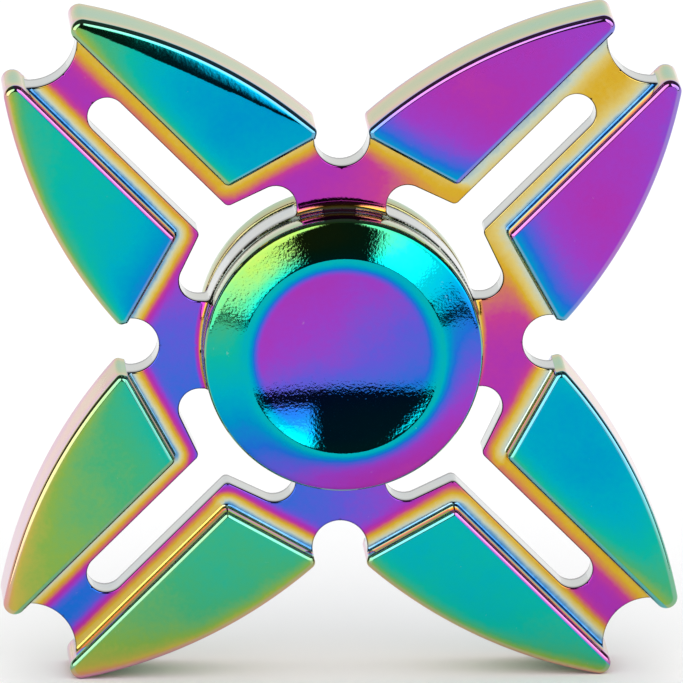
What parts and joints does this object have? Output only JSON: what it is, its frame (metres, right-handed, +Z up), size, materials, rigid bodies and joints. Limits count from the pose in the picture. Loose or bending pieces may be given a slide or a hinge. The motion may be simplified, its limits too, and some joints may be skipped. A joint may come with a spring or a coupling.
{
  "type": "fidget spinner",
  "caption": "Claw-armed metal fidget spinner turning on a shielded ball bearing between dished finger caps, standing on its lower claw tips.",
  "frame": {"origin": "centre of the bearing, which is also the centre of the whole object", "axes": "+Y along the spin axis towards the back, +Z up with the arms on the diagonals, +X to the right seen from the front"},
  "size_m": [0.0652, 0.0154, 0.0652],
  "materials": {
    "plated_casting": "polished zinc casting with a rainbow vacuum-plated film",
    "plated_cap": "polished turned cap with a rainbow vacuum-plated film",
    "bearing_steel": "ground bearing steel",
    "ball_steel": "lapped bright steel",
    "pressed_steel": "pressed bright steel strip",
    "screw_steel": "blackened alloy steel"
  },
  "bodies": {
    "hub": {"front_cap": "plated_cap", "rear_cap": "plated_cap", "axle_screw": "screw_steel", "inner_race": "bearing_steel"},
    "spinner": {"spinner_body": "plated_casting", "outer_race": "bearing_steel", "front_shield": "pressed_steel", "rear_shield": "pressed_steel", "front_snap_ring": "pressed_steel", "rear_snap_ring": "pressed_steel"},
    "cage": {"front_cage_half": "pressed_steel", "rear_cage_half": "pressed_steel", "cage_rivets": "pressed_steel"},
    "ball_1_body": {"ball_1": "ball_steel"},
    "ball_2_body": {"ball_2": "ball_steel"},
    "ball_3_body": {"ball_3": "ball_steel"},
    "ball_4_body": {"ball_4": "ball_steel"},
    "ball_5_body": {"ball_5": "ball_steel"},
    "ball_6_body": {"ball_6": "ball_steel"},
    "ball_7_body": {"ball_7": "ball_steel"}
  },
  "joints": [
    {"name": "spin", "type": "hinge", "parent": "hub", "child": "spinner", "pos_m": [0, 0, 0], "axis": [0, 1, 0], "continuous": true},
    {"name": "cage_turn", "type": "hinge", "parent": "hub", "child": "cage", "pos_m": [0, 0, 0], "axis": [0, 1, 0], "continuous": true},
    {"name": "ball_1_roll", "type": "hinge", "parent": "cage", "child": "ball_1_body", "pos_m": [0.00676, 0, -0.00325], "axis": [0, 1, 0], "continuous": true},
    {"name": "ball_2_roll", "type": "hinge", "parent": "cage", "child": "ball_2_body", "pos_m": [0.00167, 0, -0.00731], "axis": [0, 1, 0], "continuous": true},
    {"name": "ball_3_roll", "type": "hinge", "parent": "cage", "child": "ball_3_body", "pos_m": [-0.00468, 0, -0.00586], "axis": [0, 1, 0], "continuous": true},
    {"name": "ball_4_roll", "type": "hinge", "parent": "cage", "child": "ball_4_body", "pos_m": [-0.0075, 0, 0], "axis": [0, 1, 0], "continuous": true},
    {"name": "ball_5_roll", "type": "hinge", "parent": "cage", "child": "ball_5_body", "pos_m": [-0.00468, 0, 0.00586], "axis": [0, 1, 0], "continuous": true},
    {"name": "ball_6_roll", "type": "hinge", "parent": "cage", "child": "ball_6_body", "pos_m": [0.00167, 0, 0.00731], "axis": [0, 1, 0], "continuous": true},
    {"name": "ball_7_roll", "type": "hinge", "parent": "cage", "child": "ball_7_body", "pos_m": [0.00676, 0, 0.00325], "axis": [0, 1, 0], "continuous": true}
  ],
  "couplings": [
    {"joint": "cage_turn", "follows": "spin", "ratio": 0.6323},
    {"joint": "ball_1_roll", "follows": "spin", "ratio": 1.7573},
    {"joint": "ball_2_roll", "follows": "spin", "ratio": 1.7573},
    {"joint": "ball_3_roll", "follows": "spin", "ratio": 1.7573},
    {"joint": "ball_4_roll", "follows": "spin", "ratio": 1.7573},
    {"joint": "ball_5_roll", "follows": "spin", "ratio": 1.7573},
    {"joint": "ball_6_roll", "follows": "spin", "ratio": 1.7573},
    {"joint": "ball_7_roll", "follows": "spin", "ratio": 1.7573}
  ]
}
